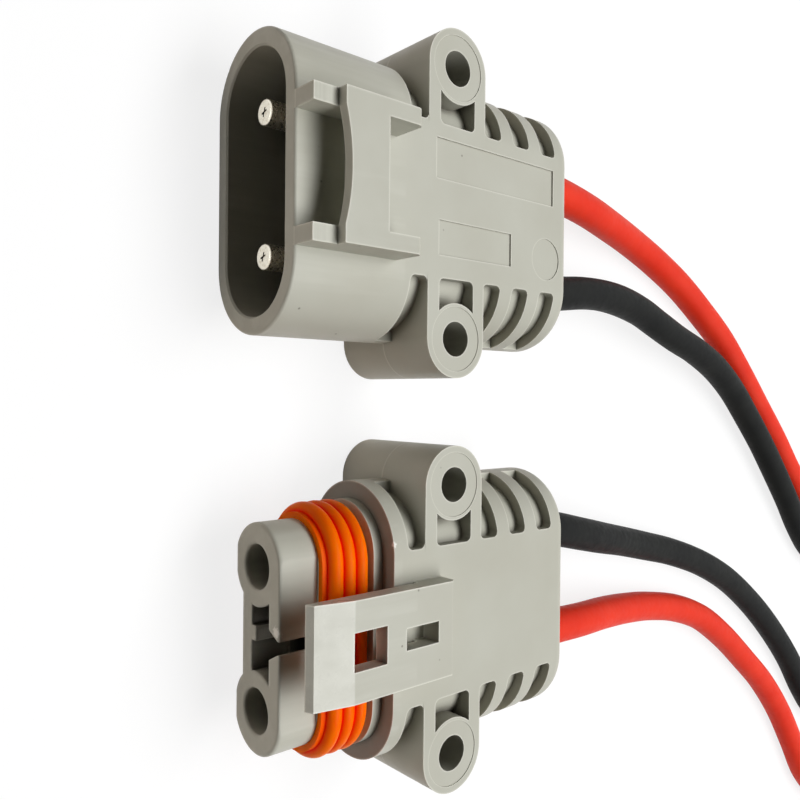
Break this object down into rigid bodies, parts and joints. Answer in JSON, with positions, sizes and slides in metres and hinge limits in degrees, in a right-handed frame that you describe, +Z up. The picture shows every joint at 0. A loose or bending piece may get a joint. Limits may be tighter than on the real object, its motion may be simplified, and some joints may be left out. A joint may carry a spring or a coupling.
{
  "type": "power jumper cable",
  "caption": "Short two-pole power jumper cable with a sealed male connector and its latching female mate on ribbed eared bodies, joined by a red and a black wire.",
  "frame": {"origin": "on the surface the cable lies on, under the middle of the box round the two connectors, wires left out", "axes": "+Z up, out of the latch faces; +X from the male connector to the female; +Y from the mating faces to the wire exits"},
  "size_m": [0.1787, 0.2488, 0.0256],
  "materials": {
    "housing": "fine-grained moulded warm grey",
    "seal": "glossy silicone rubber",
    "contact": "plated copper alloy, satin",
    "copper": "bare stranded copper",
    "red_silicone": "satin silicone insulation",
    "black_silicone": "satin silicone insulation"
  },
  "bodies": {
    "root": {"male_housing": "housing", "latch_keeper": "housing", "female_housing": "housing", "female_nose": "housing", "latch_arm": "housing", "interface_seal": "seal", "red_pin": "contact", "black_pin": "contact", "red_socket": "contact", "black_socket": "contact", "male_red_wire_seal": "seal", "male_black_wire_seal": "seal", "female_red_wire_seal": "seal", "female_black_wire_seal": "seal", "male_red_strands": "copper", "male_black_strands": "copper", "female_red_strands": "copper", "female_black_strands": "copper", "red_wire": "red_silicone", "black_wire": "black_silicone"}
  },
  "joints": []
}
